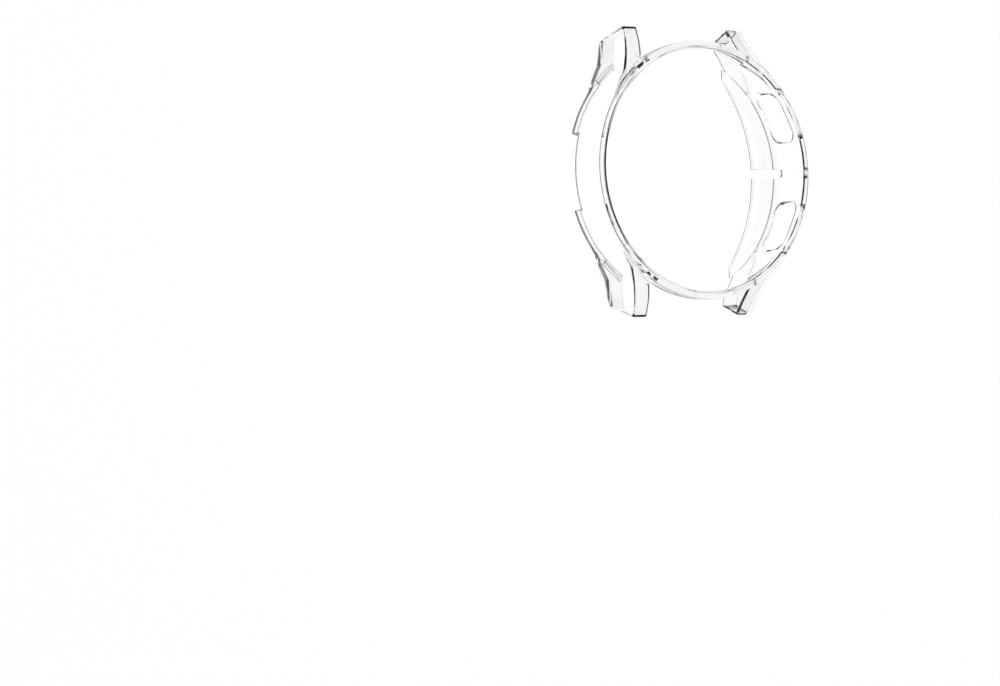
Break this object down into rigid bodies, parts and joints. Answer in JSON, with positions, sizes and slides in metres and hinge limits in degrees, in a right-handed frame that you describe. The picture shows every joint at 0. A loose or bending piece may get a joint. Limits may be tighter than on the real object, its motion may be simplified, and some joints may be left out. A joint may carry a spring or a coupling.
{
  "type": "smartwatch bumper case",
  "caption": "Clear flexible bumper case for a round wrist watch, with an open face, button windows, lug guards and rear lips.",
  "frame": {"origin": "Middle of the case's plan, at the level of the surface that it lies on, under the rear corners of the lug guards", "axes": "+Z towards the watch face, +Y to twelve o'clock, +X to the side of the watch with the buttons"},
  "size_m": [0.042, 0.0472, 0.0106],
  "materials": {
    "clear_ring": "polished clear elastomer",
    "clear_wall": "polished clear elastomer",
    "clear_guard": "polished clear elastomer",
    "clear_lip": "polished clear elastomer"
  },
  "bodies": {
    "bezel": {"bezel_ring": "clear_ring"},
    "left_side": {"left_side_wall": "clear_wall", "upper_left_lug_guard": "clear_guard", "lower_left_lug_guard": "clear_guard"},
    "right_side": {"right_side_wall": "clear_wall", "upper_right_lug_guard": "clear_guard", "lower_right_lug_guard": "clear_guard"},
    "upper_right_lip": {"upper_right_rear_lip": "clear_lip"},
    "lower_right_lip": {"lower_right_rear_lip": "clear_lip"},
    "upper_left_tab": {"upper_left_rear_tab": "clear_lip"},
    "lower_left_tab": {"lower_left_rear_tab": "clear_lip"}
  },
  "joints": [
    {"name": "left_side_splay", "type": "hinge", "parent": "bezel", "child": "left_side", "pos_m": [-0.0205, 0, 0.00925], "axis": [0, 1, 0], "range_deg": [0, 10], "stiffness_Nm_per_rad": 0.05},
    {"name": "right_side_splay", "type": "hinge", "parent": "bezel", "child": "right_side", "pos_m": [0.0205, 0, 0.00925], "axis": [0, -1, 0], "range_deg": [0, 10], "stiffness_Nm_per_rad": 0.05},
    {"name": "upper_right_lip_flex", "type": "hinge", "parent": "right_side", "child": "upper_right_lip", "pos_m": [0.01528, 0.00896, 0.00175], "axis": [0.506, -0.8625, 0], "range_deg": [-20, 20], "stiffness_Nm_per_rad": 0.005},
    {"name": "lower_right_lip_flex", "type": "hinge", "parent": "right_side", "child": "lower_right_lip", "pos_m": [0.01528, -0.00896, 0.00175], "axis": [-0.506, -0.8625, 0], "range_deg": [-20, 20], "stiffness_Nm_per_rad": 0.005},
    {"name": "upper_left_tab_flex", "type": "hinge", "parent": "left_side", "child": "upper_left_tab", "pos_m": [-0.01803, 0.01016, 0.00315], "axis": [0.4909, 0.8712, 0], "range_deg": [-4, 20], "stiffness_Nm_per_rad": 0.005},
    {"name": "lower_left_tab_flex", "type": "hinge", "parent": "left_side", "child": "lower_left_tab", "pos_m": [-0.01803, -0.01016, 0.00315], "axis": [-0.4909, 0.8712, 0], "range_deg": [-4, 20], "stiffness_Nm_per_rad": 0.005}
  ]
}
